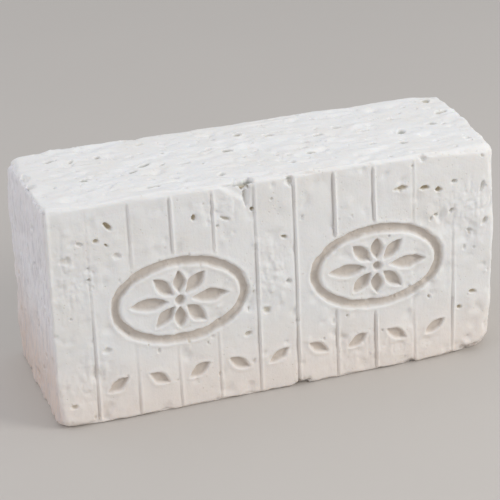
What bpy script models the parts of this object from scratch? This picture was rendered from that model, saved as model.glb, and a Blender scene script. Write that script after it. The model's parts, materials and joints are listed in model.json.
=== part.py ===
"""Feta block: one block of brined cheese, pressed in a slatted mould.

Metres, +Z up. The block stands on z = 0 and is centred on X and Y. Its long
side runs along X, and its patterned face looks to -Y.

Sizes below are in millimetres. A place on the block is first a point of a true
box, and form() bends that box into the real, rounded and leaning block.
"""
import math
import random

import bmesh
import bpy
import numpy as np
from mathutils import Matrix

MM = 0.001

# The block
WIDTH = 220.0
DEPTH = 80.0
HEIGHT = 110.0
EDGE_RADIUS = 2.0
HALF = np.array((WIDTH / 2, DEPTH / 2, HEIGHT / 2))
MIDDLE = np.array((0.0, 0.0, HEIGHT / 2))
FRONT = -DEPTH / 2

# How far each corner stands from the true box, by its side on X, Y and Z
CORNER_SHIFTS = {
    (0, 0, 0): (-0.4, -4.8, 0.0),
    (1, 0, 0): (-1.8, 3.1, 0.0),
    (0, 1, 0): (-4.2, 2.7, 0.0),
    (1, 1, 0): (1.5, -0.2, 0.0),
    (0, 0, 1): (2.9, 3.8, 0.0),
    (1, 0, 1): (-0.5, -2.2, 1.4),
    (0, 1, 1): (-2.4, -0.6, -1.3),
    (1, 1, 1): (-1.2, -1.2, -2.0),
}

# Corners that are worn rounder: the corner, the extra radius, how far it reaches
WORN_CORNERS = (
    ((0, 0, 0), 4.0, 10.0),
    ((1, 0, 0), 6.5, 14.0),
    ((0, 0, 1), 1.0, 8.0),
    ((1, 0, 1), 3.4, 18.0),
    ((0, 1, 1), 4.8, 14.0),
    ((1, 1, 1), 2.2, 16.0),
)

# Slow unevenness of the faces: height, then waves over each axis of the block
UNEVENNESS = (
    (0.30, 2.2, 0.9, 1.3),
    (0.15, 3.0, 1.2, 2.8),
)
FLAT_FOOT = 18.0

# Mould lines between the staves, each a thin rib with a crease on its left
STAVES = 11
STAVE = WIDTH / STAVES
# How far each line stands to the right of an even division, at the foot and at the top
LINE_SHIFTS = (
    (1.3, 1.2),
    (1.3, 1.0),
    (1.5, 0.9),
    (1.4, 1.0),
    (1.6, 1.3),
    (1.2, 0.9),
    (1.1, 0.5),
    (0.8, 0.0),
    (1.0, -0.2),
    (0.7, 0.3),
)
LINE_LOW = 6.0
LINE_HIGH = 105.5
RIB_HALF_WIDTH = 1.1
RIB_HEIGHT = 0.55
RIB_ROOT = 1.5
CREASE_SIDE = 1.6
CREASE_HALF_WIDTH = 0.65
CREASE_DEPTH = 0.8
LINE_STEP = 26.0

# The two pressed ornaments: an oval ring round a rosette of eight petals
ORNAMENT_CENTRES = (-47.8, 50.4)
ORNAMENT_HEIGHT = 56.2
RING_HALF = (31.5, 19.5)
RING_BAND = 4.2
RING_DEPTH = 2.2
RING_SIDES = 36
PETALS = 8
PETAL_START = 0.2
PETAL_END = 0.82
PETAL_HALF_WIDTH = 3.1
PETAL_DEPTH = 2.0
HUB_RADIUS = 2.3
ORNAMENT_MARGIN = 2.5

# The row of pressed leaves along the foot, one on each stave but the outer two
LEAF_HEIGHT = 18.5
LEAF_LENGTH = 11.5
LEAF_HALF_WIDTH = 2.5
LEAF_DEPTH = 1.6
LEAF_TURN = math.radians(32)

# Larger pits that show, as place (mm), length, width, depth and turn (degrees)
FRONT_PITS = (
    (-80.2, 98.6, 5.0, 2.6, 2.4, -48),
    (-93.9, 91.9, 3.4, 2.0, 1.3, -25),
    (-90.6, 73.8, 2.6, 1.8, 1.6, 10),
    (-39.3, 96.1, 3.4, 2.2, 2.0, 85),
    (-23.9, 93.2, 5.2, 2.2, 1.2, -18),
    (-10.8, 95.6, 2.0, 2.0, 2.2, 0),
    (62.6, 94.8, 6.0, 2.2, 1.6, 8),
    (74.1, 93.0, 4.4, 2.2, 2.2, 0),
    (81.1, 91.1, 3.6, 2.4, 2.2, -12),
    (89.4, 93.9, 3.0, 2.2, 1.8, 20),
    (103.5, 89.4, 6.5, 2.2, 1.5, 75),
    (88.2, 79.1, 3.0, 2.2, 1.7, 30),
    (104.9, 70.9, 4.5, 2.0, 1.5, 60),
    (97.8, 66.8, 3.2, 2.0, 1.4, -20),
    (-101.8, 11.4, 3.2, 2.2, 1.4, 0),
    (92.9, 26.0, 2.6, 2.0, 1.4, 0),
)
TOP_PITS = (
    (-69.8, 19.1, 3.0, 3.0, 2.4, 0),
    (-54.0, -27.6, 8.0, 2.6, 2.0, 12),
    (-51.7, -1.4, 7.0, 2.6, 1.8, 20),
    (-33.3, -5.0, 7.0, 2.4, 1.6, 8),
    (0.7, 22.3, 5.0, 3.6, 1.8, 35),
    (14.3, 16.1, 5.0, 2.8, 2.2, -20),
    (37.1, 6.9, 6.0, 2.6, 1.8, 10),
    (56.9, -15.8, 4.0, 2.6, 2.0, 25),
    (58.5, 2.8, 7.0, 2.2, 1.6, 0),
    (91.9, -0.9, 5.0, 3.0, 1.6, -30),
    (102.6, 13.1, 8.0, 2.6, 2.0, 18),
    (-92.2, 22.4, 7.0, 2.4, 1.4, 5),
    (26.5, -14.0, 5.0, 2.4, 1.6, 15),
    (71.2, -19.1, 5.0, 2.4, 1.6, 0),
)

# Smaller pits spread by a seeded rule: how many on each face
SPREAD_PITS = {"top": 28, "back": 28, "left": 10, "right": 10, "front": 12}
SPREAD_SEED = 11
SPREAD_EDGE = 9.0
SPREAD_GAP = 2.0
SPREAD_TRIES = 4000
PIT_SIDES = 6

# Chips broken from the edges, as place on the box, then half sizes on X, Y, Z
EDGE_CHIPS = (
    ((-14.5, FRONT + 1.0, HEIGHT - 0.5), (4.8, 3.0, 3.4)),
    ((-13.7, FRONT, 102.0), (1.0, 1.8, 3.8)),
    ((7.6, FRONT, 107.3), (2.2, 2.0, 2.6)),
    ((11.3, FRONT, 0.0), (4.4, 3.0, 2.8)),
    ((67.5, FRONT, 0.0), (3.2, 2.2, 1.6)),
    ((99.5, FRONT + 1.0, 0.5), (5.4, 3.4, 2.8)),
    ((-107.7, 6.3, HEIGHT), (2.4, 3.6, 2.2)),
    ((-107.9, -7.1, HEIGHT - 1.0), (2.2, 3.0, 2.6)),
)

# Rows of the surface mesh, closer together at the edges
EDGE_ROWS = (0.0, 1.5, 4.0, 8.0)
ROW_STEP = 16.0

CHEESE_COLOUR = (0.83, 0.82, 0.79, 1.0)
CHEESE_ROUGHNESS = 0.55


def rounding(points):
    """Radius of the edges near each point: the common radius, and more towards a worn corner."""
    radius = np.full(len(points), EDGE_RADIUS)
    for corner, extra, reach in WORN_CORNERS:
        place = MIDDLE + (2 * np.array(corner) - 1) * HALF
        gap = ((points - place) ** 2).sum(axis=1)
        radius = radius + extra * np.exp(-gap / (2 * reach ** 2))
    return radius[:, None]


def form(points):
    """Bend points of the true box's surface into the block.

    Each point is pulled onto a box with rounded edges, moved by the corners'
    shifts in proportion to its distance from them, and raised or sunk a little
    along its outward direction by two slow waves that fade out at the foot.
    """
    points = np.asarray(points, dtype=float).reshape(-1, 3)
    radius = rounding(points)
    local = points - MIDDLE
    core = np.clip(local, -(HALF - radius), HALF - radius)
    outward = local - core
    outward = outward / np.linalg.norm(outward, axis=1, keepdims=True)
    rounded = core + outward * radius
    share = (rounded + HALF) / (2 * HALF)
    shift = np.zeros_like(rounded)
    for corner, move in CORNER_SHIFTS.items():
        near = np.where(np.array(corner) == 1, share, 1 - share).prod(axis=1)
        shift += near[:, None] * np.array(move)
    wave = np.zeros(len(points))
    for height, along_x, along_y, along_z in UNEVENNESS:
        turns = share @ np.array((along_x, along_y, along_z)) * math.tau
        wave += height * np.sin(turns) * np.cos(0.7 * turns + 1.0)
    foot = np.clip((rounded[:, 2] + HALF[2]) / FLAT_FOOT, 0, 1)
    wave *= foot * foot * (3 - 2 * foot)
    return rounded + shift + outward * wave[:, None] + MIDDLE


def box_rows(half, middle):
    """Places of the mesh rows along one axis, closer together at both ends."""
    inner = half - EDGE_ROWS[-1]
    count = max(2, round(2 * inner / ROW_STEP))
    ends = [half - row for row in EDGE_ROWS]
    between = np.linspace(-inner, inner, count + 1)[1:-1]
    return middle + np.array([-end for end in ends] + list(between) + ends[::-1])


def block_centre():
    """Middle of the finished block on X and Y, with the ribs that stand proud of its front."""
    x_rows = box_rows(HALF[0], 0.0)
    y_rows = box_rows(HALF[1], 0.0)
    z_rows = box_rows(HALF[2], MIDDLE[2])
    ends = [(x, y, z) for x in (-HALF[0], HALF[0]) for y in y_rows for z in z_rows]
    faces = [(x, y, z) for y in (-HALF[1], HALF[1]) for x in x_rows for z in z_rows]
    points = form(ends + faces)
    low = points.min(axis=0)
    high = points.max(axis=0)
    low[1] -= RIB_HEIGHT
    centre = (low + high) / 2
    centre[2] = 0.0
    return centre


CENTRE = block_centre()


def place(points, outward=(0.0, 0.0, 0.0)):
    """Points of the box, in millimetres, as points of the block in metres."""
    return (form(points) + np.asarray(outward, dtype=float) - CENTRE) * MM


def add_mesh(name, points, faces, collection):
    """A named object from points in metres and faces."""
    mesh = bpy.data.meshes.new(name)
    mesh.from_pydata([tuple(point) for point in points], [], faces)
    piece = bpy.data.objects.new(name, mesh)
    collection.objects.link(piece)
    work = bmesh.new()
    work.from_mesh(mesh)
    bmesh.ops.recalc_face_normals(work, faces=work.faces)
    work.to_mesh(mesh)
    work.free()
    return piece


def helper_collection(name):
    """A collection for shapes that only build the block and never show."""
    collection = bpy.data.collections.new(name)
    bpy.context.scene.collection.children.link(collection)
    return collection


def hide_helpers(collection):
    """Mark every object of a collection as a helper."""
    for helper in collection.objects:
        helper.hide_render = True
        helper.display_type = "WIRE"


def block_body():
    """The block's surface: six sheets of rows that share their border points."""
    rows = (box_rows(HALF[0], 0.0), box_rows(HALF[1], 0.0), box_rows(HALF[2], MIDDLE[2]))
    last = tuple(len(axis_rows) - 1 for axis_rows in rows)
    numbers = {}
    points = []
    faces = []

    def corner(index):
        if index not in numbers:
            numbers[index] = len(points)
            points.append([rows[axis][index[axis]] for axis in range(3)])
        return numbers[index]

    for axis in range(3):
        first, second = [other for other in range(3) if other != axis]
        for side in (0, last[axis]):
            for i in range(last[first]):
                for j in range(last[second]):
                    around = []
                    for step_i, step_j in ((0, 0), (1, 0), (1, 1), (0, 1)):
                        index = [0, 0, 0]
                        index[axis] = side
                        index[first] = i + step_i
                        index[second] = j + step_j
                        around.append(corner(tuple(index)))
                    faces.append(around)
    return add_mesh("feta_block", place(points), faces, bpy.context.scene.collection)


def line_place(number, z):
    """Distance of a mould line along X at the height z."""
    at_foot, at_top = LINE_SHIFTS[number - 1]
    return -WIDTH / 2 + number * STAVE + at_foot + (at_top - at_foot) * z / HEIGHT


def strip_mesh(profile, number, low, high):
    """Points and faces of a bar up the front: a profile of (side, outward) carried along a mould line."""
    steps = max(1, round((high - low) / LINE_STEP))
    points = []
    faces = []
    count = len(profile)
    for z in np.linspace(low, high, steps + 1):
        for side, outward in profile:
            points.append(place([(line_place(number, z) + side, FRONT, z)], (0, -outward, 0))[0])
    for step in range(steps):
        for i in range(count):
            j = (i + 1) % count
            base = step * count
            faces.append((base + i, base + j, base + count + j, base + count + i))
    faces.append(tuple(range(count)))
    faces.append(tuple(range(steps * count, (steps + 1) * count)))
    return points, faces


def line_stretches(x):
    """Stretches of a mould line at x: whole, or below and above an ornament that crosses it."""
    for centre in ORNAMENT_CENTRES:
        reach = RING_HALF[0] + RING_BAND / 2 + ORNAMENT_MARGIN
        across = abs(x - centre)
        if across < reach:
            rise = (RING_HALF[1] + RING_BAND / 2 + ORNAMENT_MARGIN) * math.sqrt(1 - (across / reach) ** 2)
            return ((LINE_LOW, ORNAMENT_HEIGHT - rise), (ORNAMENT_HEIGHT + rise, LINE_HIGH))
    return ((LINE_LOW, LINE_HIGH),)


def mould_lines(profile, name, collection):
    """One bar with this profile on each stretch of each mould line, in a single object."""
    points = []
    faces = []
    for number in range(1, STAVES):
        for low, high in line_stretches(line_place(number, ORNAMENT_HEIGHT)):
            more_points, more_faces = strip_mesh(profile, number, low, high)
            faces += [tuple(len(points) + i for i in face) for face in more_faces]
            points += more_points
    return add_mesh(name, points, faces, collection)


def ring_cutter(name, centre, collection):
    """A closed band round an oval, with walls that lean out towards the face."""
    floor_half = RING_BAND / 2 - 0.7
    mouth_half = RING_BAND / 2 + 0.7
    profile = ((-mouth_half, 1.6), (mouth_half, 1.6), (floor_half, -RING_DEPTH), (-floor_half, -RING_DEPTH))
    points = []
    faces = []
    for step in range(RING_SIDES):
        angle = math.tau * step / RING_SIDES
        for across, outward in profile:
            x = centre + (RING_HALF[0] + across) * math.cos(angle)
            z = ORNAMENT_HEIGHT + (RING_HALF[1] + across) * math.sin(angle)
            points.append(place([(x, FRONT, z)], (0, -outward, 0))[0])
    for step in range(RING_SIDES):
        base = step * len(profile)
        ahead = (step + 1) % RING_SIDES * len(profile)
        for i in range(len(profile)):
            j = (i + 1) % len(profile)
            faces.append((base + i, base + j, ahead + j, ahead + i))
    return add_mesh(name, points, faces, collection)


def leaf_outline(length, half_width, steps):
    """Outline of a pointed leaf along its own axis: the half width follows a sine from tip to tip."""
    there = [i / steps for i in range(steps + 1)]
    back = there[-2:0:-1]
    upper = [((t - 0.5) * length, half_width * math.sin(math.pi * t)) for t in there]
    lower = [((t - 0.5) * length, -half_width * math.sin(math.pi * t)) for t in back]
    return upper + lower


def pressed_leaf(centre, length, half_width, depth, turn, steps=5):
    """Points and faces of a leaf cutter whose walls lean in towards its floor."""
    points = []
    levels = ((1.15, 1.5), (1.0, 0.0), (0.62, -depth))
    for size, outward in levels:
        for along, across in leaf_outline(length * size, half_width * size, steps):
            x = centre[0] + along * math.cos(turn) - across * math.sin(turn)
            z = centre[1] + along * math.sin(turn) + across * math.cos(turn)
            points.append(place([(x, FRONT, z)], (0, -outward, 0))[0])
    count = 2 * steps
    faces = []
    for level in range(len(levels) - 1):
        for i in range(count):
            j = (i + 1) % count
            base = level * count
            faces.append((base + i, base + j, base + count + j, base + count + i))
    faces.append(tuple(range(count)))
    faces.append(tuple(range((len(levels) - 1) * count, len(levels) * count)))
    return points, faces


def ornament_leaves():
    """The petals and hubs of both rosettes, as centre, length, half width, depth and turn."""
    leaves = []
    inner = (RING_HALF[0] - RING_BAND / 2, RING_HALF[1] - RING_BAND / 2)
    for centre in ORNAMENT_CENTRES:
        for petal in range(PETALS):
            turn = math.tau * petal / PETALS
            reach = inner[0] * inner[1] / math.hypot(inner[1] * math.cos(turn), inner[0] * math.sin(turn))
            middle = reach * (PETAL_START + PETAL_END) / 2
            spot = (centre + middle * math.cos(turn), ORNAMENT_HEIGHT + middle * math.sin(turn))
            length = reach * (PETAL_END - PETAL_START)
            leaves.append((spot, length, PETAL_HALF_WIDTH, PETAL_DEPTH, turn))
    return leaves


def foot_leaves():
    """The row along the foot: a leaf in the middle of each stave, leaning left and right by turns."""
    leaves = []
    for number in range(1, STAVES - 1):
        x = -WIDTH / 2 + (number + 0.5) * STAVE
        turn = LEAF_TURN if number % 2 else math.pi - LEAF_TURN
        leaves.append(((x, LEAF_HEIGHT), LEAF_LENGTH, LEAF_HALF_WIDTH, LEAF_DEPTH, turn))
    return leaves


def leaf_cutters(name, leaves, collection):
    """One object with every leaf of a list."""
    points = []
    faces = []
    for leaf in leaves:
        more_points, more_faces = pressed_leaf(*leaf)
        faces += [tuple(len(points) + i for i in face) for face in more_faces]
        points += more_points
    return add_mesh(name, points, faces, collection)


def face_point(face, across, up):
    """A point of the box on a named face, from the two distances along that face."""
    return {
        "front": (across, FRONT, up),
        "back": (across, -FRONT, up),
        "top": (across, up, HEIGHT),
        "left": (-WIDTH / 2, across, up),
        "right": (WIDTH / 2, across, up),
    }[face]


# Each face's directions as one looks at it: to the right, up and out
FACE_AXES = {
    "front": ((1, 0, 0), (0, 0, 1), (0, -1, 0)),
    "back": ((-1, 0, 0), (0, 0, 1), (0, 1, 0)),
    "top": ((1, 0, 0), (0, 1, 0), (0, 0, 1)),
    "left": ((0, -1, 0), (0, 0, 1), (-1, 0, 0)),
    "right": ((0, 1, 0), (0, 0, 1), (1, 0, 0)),
}


def spread_pits():
    """Pits at seeded places on every face but the foot, none touching another or an ornament."""
    draw = random.Random(SPREAD_SEED)
    spans = {"front": HALF[0], "back": HALF[0], "top": HALF[0], "left": HALF[1], "right": HALF[1]}
    pits = {face: [] for face in SPREAD_PITS}
    pits["front"] += FRONT_PITS
    pits["top"] += TOP_PITS
    for face, count in SPREAD_PITS.items():
        wanted = len(pits[face]) + count
        for _ in range(SPREAD_TRIES):
            if len(pits[face]) == wanted:
                break
            across = draw.uniform(-1, 1) * (spans[face] - SPREAD_EDGE)
            if face == "top":
                up = draw.uniform(-1, 1) * (HALF[1] - SPREAD_EDGE)
            else:
                up = draw.uniform(SPREAD_EDGE, HEIGHT - SPREAD_EDGE)
            length = draw.uniform(2.2, 5.0)
            width = length * draw.uniform(0.45, 0.9)
            depth = draw.uniform(0.9, 1.7)
            turn = draw.gauss(0, 25)
            if face == "front" and not clear_of_pattern(across, up, length):
                continue
            gaps = [math.hypot(across - pit[0], up - pit[1]) - (length + pit[2]) / 2 for pit in pits[face]]
            if all(gap > SPREAD_GAP for gap in gaps):
                pits[face].append((across, up, length, width, depth, turn))
    return pits


def clear_of_pattern(x, z, length):
    """Whether a pit on the front misses the ornaments, the leaves and the mould lines."""
    for centre in ORNAMENT_CENTRES:
        reach_x = RING_HALF[0] + RING_BAND + length
        reach_z = RING_HALF[1] + RING_BAND + length
        if ((x - centre) / reach_x) ** 2 + ((z - ORNAMENT_HEIGHT) / reach_z) ** 2 < 1:
            return False
    if z < LEAF_HEIGHT + LEAF_LENGTH:
        return False
    from_line = (x + WIDTH / 2) % STAVE
    return length < from_line < STAVE - length


def pit_cutters(name, face, pits, collection):
    """Shallow pits of one face: low six-sided spheroids, centred just above the surface."""
    across, up, out = (np.array(axis, dtype=float) for axis in FACE_AXES[face])
    work = bmesh.new()
    for place_across, place_up, length, width, depth, turn in pits:
        angle = math.radians(turn)
        long_way = across * math.cos(angle) + up * math.sin(angle)
        short_way = up * math.cos(angle) - across * math.sin(angle)
        centre = place([face_point(face, place_across, place_up)], out * depth * 0.12)[0]
        columns = (long_way * length / 2, short_way * width / 2, out * depth * 1.12)
        matrix = Matrix([[float(column[row]) * MM for column in columns] + [float(centre[row])]
                         for row in range(3)] + [[0, 0, 0, 1]])
        bmesh.ops.create_uvsphere(work, u_segments=PIT_SIDES, v_segments=4, radius=1.0, matrix=matrix)
    mesh = bpy.data.meshes.new(name)
    work.to_mesh(mesh)
    work.free()
    piece = bpy.data.objects.new(name, mesh)
    collection.objects.link(piece)
    return piece


def chip_cutters(collection):
    """Rough chips along the edges: low spheroids, turned a little each so that no two match."""
    for number, (spot, half_sizes) in enumerate(EDGE_CHIPS):
        work = bmesh.new()
        bmesh.ops.create_icosphere(work, subdivisions=1, radius=1.0)
        centre = place([spot])[0]
        turn = Matrix.Rotation(0.9 * number, 4, "Z") @ Matrix.Rotation(0.5 * number, 4, "X")
        stretch = Matrix.Diagonal([half * MM for half in half_sizes] + [1.0])
        work.transform(Matrix.Translation(centre) @ stretch @ turn)
        name = f"chip_{number + 1}"
        mesh = bpy.data.meshes.new(name)
        work.to_mesh(mesh)
        work.free()
        collection.objects.link(bpy.data.objects.new(name, mesh))


def boolean(piece, name, operation, collection):
    """Join or cut a piece with every object of a collection."""
    modifier = piece.modifiers.new(name, "BOOLEAN")
    modifier.operation = operation
    modifier.operand_type = "COLLECTION"
    modifier.collection = collection
    modifier.solver = "EXACT"


def cheese_material():
    """Pale, matt, moist curd."""
    material = bpy.data.materials.new("feta")
    material.use_nodes = True
    shader = material.node_tree.nodes["Principled BSDF"]
    shader.inputs["Base Color"].default_value = CHEESE_COLOUR
    shader.inputs["Roughness"].default_value = CHEESE_ROUGHNESS
    shader.inputs["Metallic"].default_value = 0.0
    return material


def build():
    """Make the block: its body, the raised mould ribs, then everything pressed or broken into it."""
    for old in list(bpy.data.objects):
        bpy.data.objects.remove(old)
    block = block_body()

    ribs = helper_collection("ribs")
    rib_profile = (
        (-RIB_HALF_WIDTH, -RIB_ROOT),
        (RIB_HALF_WIDTH, -RIB_ROOT),
        (RIB_HALF_WIDTH, 0.0),
        (RIB_HALF_WIDTH / 2, RIB_HEIGHT),
        (-RIB_HALF_WIDTH / 2, RIB_HEIGHT),
    )
    mould_lines(rib_profile, "mould_ribs", ribs)
    hide_helpers(ribs)
    boolean(block, "ribs", "UNION", ribs)

    cuts = helper_collection("cuts")
    mouth = CREASE_HALF_WIDTH * (CREASE_DEPTH + 1.2) / CREASE_DEPTH
    crease_profile = (
        (-CREASE_SIDE - mouth, 1.2),
        (-CREASE_SIDE + mouth, 1.2),
        (-CREASE_SIDE, -CREASE_DEPTH),
    )
    mould_lines(crease_profile, "creases", cuts)
    for number, centre in enumerate(ORNAMENT_CENTRES):
        ring_cutter(f"ring_{number + 1}", centre, cuts)
        hub = ((centre, ORNAMENT_HEIGHT), 2 * HUB_RADIUS, HUB_RADIUS, PETAL_DEPTH, 0.0)
        leaf_cutters(f"hub_{number + 1}", [hub], cuts)
    leaf_cutters("petals", ornament_leaves(), cuts)
    leaf_cutters("leaves", foot_leaves(), cuts)
    for face, pits in spread_pits().items():
        pit_cutters(f"pits_{face}", face, pits, cuts)
    chip_cutters(cuts)
    hide_helpers(cuts)
    boolean(block, "cuts", "DIFFERENCE", cuts)

    block.data.materials.append(cheese_material())


build()
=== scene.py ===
"""Feta block: the finish of a brined cheese block pressed in a slatted mould.

The block's surface is one closed skin worked out with numpy. It starts from the
lattice points of a true box. form() bends the box into the rounded, leaning
block, and every feature of the surface then raises or sinks the points along
their outward direction: mould lines, pressed ornaments, pits, tears and chips.

Sizes in the functions are millimetres. The block stands on z = 0, its patterned
front looks to -Y and its long side runs along X.
"""
import itertools
import json
import math
import random

import bpy
import numpy as np
from mathutils import Matrix, Vector


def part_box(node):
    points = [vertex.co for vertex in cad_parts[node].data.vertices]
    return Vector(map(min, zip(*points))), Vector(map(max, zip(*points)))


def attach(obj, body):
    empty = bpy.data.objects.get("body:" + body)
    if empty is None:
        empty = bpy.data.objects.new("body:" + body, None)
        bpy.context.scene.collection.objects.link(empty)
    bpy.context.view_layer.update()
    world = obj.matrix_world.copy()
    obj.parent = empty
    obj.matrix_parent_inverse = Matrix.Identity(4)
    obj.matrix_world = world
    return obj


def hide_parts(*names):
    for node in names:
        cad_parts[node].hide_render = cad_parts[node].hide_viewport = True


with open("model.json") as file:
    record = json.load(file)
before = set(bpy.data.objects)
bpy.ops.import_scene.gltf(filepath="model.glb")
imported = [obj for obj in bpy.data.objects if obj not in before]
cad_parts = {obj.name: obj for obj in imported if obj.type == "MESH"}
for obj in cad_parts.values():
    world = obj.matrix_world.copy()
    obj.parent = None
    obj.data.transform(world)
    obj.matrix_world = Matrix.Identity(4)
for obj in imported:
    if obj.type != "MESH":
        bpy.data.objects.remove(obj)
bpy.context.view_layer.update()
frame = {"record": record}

bl_info = {
    "name": "Feta Block",
    "version": (1, 0, 0),
    "blender": (4, 5, 0),
    "location": "3D View > Sidebar > Feta",
    "description": "Makes a pressed block of brined white cheese and its studio",
    "category": "Add Mesh",
}

BLOCK_NODE = frame["record"]["subparts"][0]["node"]
BODY = "root"
MM = 0.001

# The block, as in the solid
WIDTH = 220.0
DEPTH = 80.0
HEIGHT = 110.0
EDGE_RADIUS = 2.0
HALF = np.array((WIDTH / 2, DEPTH / 2, HEIGHT / 2))
MIDDLE = np.array((0.0, 0.0, HEIGHT / 2))
FRONT = -DEPTH / 2

# How far each corner stands from the true box, by its side on X, Y and Z
CORNER_SHIFTS = {
    (0, 0, 0): (-0.4, -4.8, 0.0),
    (1, 0, 0): (-1.8, 3.1, 0.0),
    (0, 1, 0): (-4.2, 2.7, 0.0),
    (1, 1, 0): (1.5, -0.2, 0.0),
    (0, 0, 1): (2.9, 3.8, 0.0),
    (1, 0, 1): (-0.5, -2.2, 1.4),
    (0, 1, 1): (-2.4, -0.6, -1.3),
    (1, 1, 1): (-1.2, -1.2, -2.0),
}

# Corners that are worn rounder: the corner, the extra radius, how far it reaches
WORN_CORNERS = (
    ((0, 0, 0), 4.0, 10.0),
    ((1, 0, 0), 6.5, 14.0),
    ((0, 0, 1), 1.0, 8.0),
    ((1, 0, 1), 3.4, 18.0),
    ((0, 1, 1), 4.8, 14.0),
    ((1, 1, 1), 2.2, 16.0),
)

# Slow unevenness of the faces: height, then waves over each axis of the block
UNEVENNESS = (
    (0.30, 2.2, 0.9, 1.3),
    (0.15, 3.0, 1.2, 2.8),
)
SECOND_WAVE = 0.7
FLAT_FOOT = 18.0

# Noise: the side of its lattice of values, and a cell so long that it stays even along an axis
CLOUD_SIDE = 32
EVEN = 400.0

# How far a point's direction leans to a face where the face begins and where it is full
FACING = (0.35, 0.92)
TINY = 1e-6

# Layers of noise for the relief, each as height, cell size and seed
FACE_SWELLINGS = ((0.25, 17.0, 61), (0.15, 7.0, 62), (0.07, 3.0, 63), (0.03, 1.4, 64))
TOP_GRAIN = (
    (0.3, (12.0, 2.6, EVEN), 73),
    (0.17, (5.0, 1.4, EVEN), 74),
    (0.36, (8.0, 5.0, EVEN), 79),
)
TOP_PATCHES = ((1.0, 20.0, 71),)
TOP_TEARS = ((1.0, (17.0, 3.4, EVEN), 72),)
TEAR_DEPTH = 0.32
TEAR_HALF_WIDTH = 0.075
END_STREAKS = ((0.6, (EVEN, 2.4, 22.0), 75), (0.42, (EVEN, 1.3, 8.0), 76))
END_STREAK_SHARES = {"left": 1.0, "right": 0.45}
FACE_STREAKS = ((0.03, (1.5, EVEN, 14.0), 77), (0.1, (5.5, EVEN, 16.0), 78))
EDGE_CRUMBLE = ((1.0, 4.6, 81),)
EDGE_CRUMBLE_DEPTH = 0.6
EDGE_GRAIN = ((0.14, 1.8, 82),)
RAGGED = ((1.0, 2.4, 91), (0.5, 1.1, 92))

# Mould lines between the staves, each a thin rib with a crease on its left
STAVES = 11
STAVE = WIDTH / STAVES
# How far each line stands to the right of an even division, at the foot and at the top
LINE_SHIFTS = (
    (1.3, 1.2),
    (1.3, 1.0),
    (1.5, 0.9),
    (1.4, 1.0),
    (1.6, 1.3),
    (1.2, 0.9),
    (1.1, 0.5),
    (0.8, 0.0),
    (1.0, -0.2),
    (0.7, 0.3),
)
LINE_LOW = 0.0
LINE_HIGH = 109.0
# How strong each line is at three heights
LINE_HEIGHTS = (7.0, 30.0, 92.0)
LINE_STRENGTH = (
    (1.1, 1.0, 0.3),
    (0.8, 0.2, 0.7),
    (0.9, 0.3, 1.2),
    (0.9, 0.5, 1.1),
    (0.7, 1.2, 0.9),
    (1.2, 1.1, 1.1),
    (1.1, 0.9, 1.7),
    (1.4, 1.3, 1.4),
    (0.5, 0.2, 0.6),
    (0.6, 1.1, 0.05),
)
RIB_SIDE = 0.5
RIB_HALF_WIDTH = 0.6
CREASE_SIDE = 1.55
CREASE_HALF_WIDTH = 0.48
# Painted shade in the creases, as a share of the pressed hollows' painted shade
CREASE_SHADE = 0.3
LINE_END = 3.0
LINE_DRIFT = ((0.3, (STAVE, EVEN, 34.0), 41),)
LINE_BASE = 0.9
LINE_SWELL = ((0.35, (STAVE, EVEN, 11.0), 42),)
STAVE_LEVEL = 0.16
STAVE_CROWN = 0.14

# The two pressed ornaments: an oval ring round a rosette of eight petals
ORNAMENT_CENTRES = (-47.8, 50.4)
ORNAMENT_HEIGHT = 56.2
RING_HALF = (31.5, 19.5)
RING_BAND = 4.2
PETALS = 8
PETAL_START = 0.2
PETAL_END = 0.82
PETAL_HALF_WIDTH = 3.1
HUB_RADIUS = 2.3
ORNAMENT_MARGIN = 2.5
PRESSED_WALL = 1.2
PRESSED_EDGE = ((0.38, 4.5, 51), (0.2, 1.7, 52))
PRESSED_FLOOR = ((0.22, 2.6, 53), (0.14, 1.2, 54))
LIP_HEIGHT = 0.28
LIP_PLACE = 1.2
LIP_HALF_WIDTH = 0.8

# The row of pressed leaves along the foot, one on each stave but the outer two
LEAF_HEIGHT = 18.5
LEAF_LENGTH = 11.5
LEAF_HALF_WIDTH = 2.5
LEAF_TURN = math.radians(32)
LEAF_SHARE = 0.72

# Larger pits that show, as place (mm), length, width, depth, turn (degrees) and painted shade
FRONT_PITS = (
    (-80.2, 98.6, 5.0, 2.6, 2.4, -48, 1.0),
    (-93.9, 91.9, 3.4, 2.0, 1.3, -25, 0.2),
    (-90.6, 73.8, 2.6, 1.8, 1.6, 10, 0.5),
    (-39.3, 96.1, 3.4, 2.2, 2.0, 85, 1.0),
    (-23.9, 93.2, 5.2, 2.2, 1.2, -18, 0.6),
    (-10.8, 95.6, 2.0, 2.0, 2.2, 0, 1.0),
    (62.6, 94.8, 6.0, 2.2, 1.6, 8, 0.8),
    (74.1, 93.0, 4.4, 2.2, 2.2, 0, 1.0),
    (81.1, 91.1, 3.6, 2.4, 2.2, -12, 1.0),
    (89.4, 93.9, 3.0, 2.2, 1.8, 20, 0.4),
    (103.5, 89.4, 6.5, 2.2, 1.5, 75, 0.3),
    (88.2, 79.1, 3.0, 2.2, 1.7, 30, 0.5),
    (104.9, 70.9, 4.5, 2.0, 1.5, 60, 0.4),
    (97.8, 66.8, 3.2, 2.0, 1.4, -20, 0.3),
    (-101.8, 11.4, 3.2, 2.2, 1.4, 0, 0.5),
    (92.9, 26.0, 2.6, 2.0, 1.4, 0, 0.8),
)
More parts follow.
